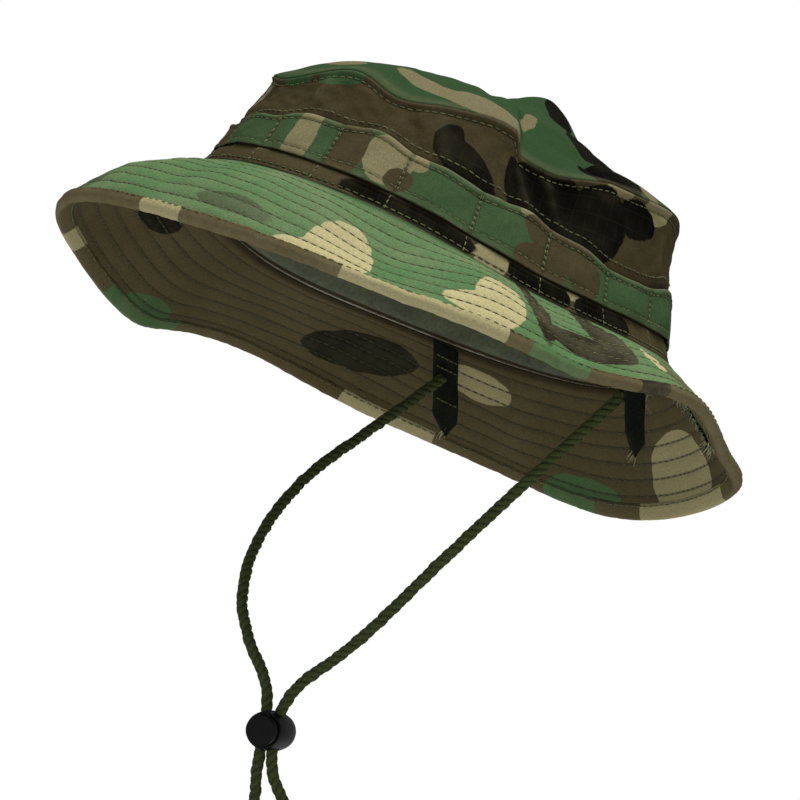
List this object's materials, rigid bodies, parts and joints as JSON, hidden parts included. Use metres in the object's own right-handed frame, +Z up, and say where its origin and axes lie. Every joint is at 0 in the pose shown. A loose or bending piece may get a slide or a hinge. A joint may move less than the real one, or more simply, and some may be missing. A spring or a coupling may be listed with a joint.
{
  "type": "boonie hat",
  "caption": "Soft round-brimmed field hat with a short oval crown, a stitched band of loops, a drooping quilted brim and a chin cord with a spring cord lock.",
  "frame": {"origin": "centre of the oval head opening, in the plane where the crown is sewn to the brim", "axes": "+Z up the crown, front of the hat at -Y, wearer's left at +X"},
  "size_m": [0.2677, 0.282, 0.3278],
  "materials": {
    "camo_cloth": "woodland-pattern ripstop cotton, matt",
    "under_cloth": "woodland-pattern ripstop cotton, worn inner side",
    "interlining": "stiff woven interlining",
    "thread": "olive green sewing thread",
    "sweatband_cloth": "olive cotton twill",
    "tab_cloth": "dark green webbing",
    "label_cloth": "plain woven label",
    "cord_fibre": "olive braided cord",
    "lock_plastic": "black moulded nylon",
    "spring_steel": "bright wire"
  },
  "bodies": {
    "hat": {"crown_top_panel": "camo_cloth", "crown_side_panel": "camo_cloth", "crown_top_seam_thread": "thread", "crown_guide_thread": "thread", "crown_back_seam_thread": "thread", "loop_band": "camo_cloth", "loop_band_upper_thread": "thread", "loop_band_lower_thread": "thread", "loop_divider_threads": "thread", "base_strip": "camo_cloth", "base_strip_thread": "thread", "sweatband": "sweatband_cloth", "sweatband_thread": "thread", "size_label": "label_cloth", "size_label_thread": "thread", "brim_top_panel": "camo_cloth", "brim_interlining": "interlining", "brim_under_panel": "under_cloth", "brim_row_top_threads": "thread", "brim_row_under_threads": "thread", "brim_binding": "camo_cloth", "brim_binding_thread": "thread", "cord_tab_left": "tab_cloth", "cord_tab_right": "tab_cloth", "cord_tab_stitches": "thread", "seam_allowance_fray": "under_cloth"},
    "chin_strap": {"chin_cord": "cord_fibre"},
    "cord_lock": {"cord_lock_barrel": "lock_plastic", "cord_lock_spring": "spring_steel"},
    "lock_button": {"cord_lock_plunger": "lock_plastic"}
  },
  "joints": [
    {"name": "chin_strap_swing", "type": "hinge", "parent": "hat", "child": "chin_strap", "pos_m": [0, 0.0595, -0.016], "axis": [1, 0, 0], "range_deg": [-45, 60], "deforming": ["chin_cord"]},
    {"name": "cord_lock_slide", "type": "slide", "parent": "chin_strap", "child": "cord_lock", "axis": [0, -0.2199, 0.9755], "range_m": [-0.02, 0.06], "deforming": ["chin_cord"]},
    {"name": "lock_button_press", "type": "slide", "parent": "cord_lock", "child": "lock_button", "axis": [-0.6428, 0.7473, 0.1684], "range_m": [0, 0.003], "stiffness_N_per_m": 900, "springref_m": -0.002, "deforming": ["cord_lock_spring"]}
  ]
}
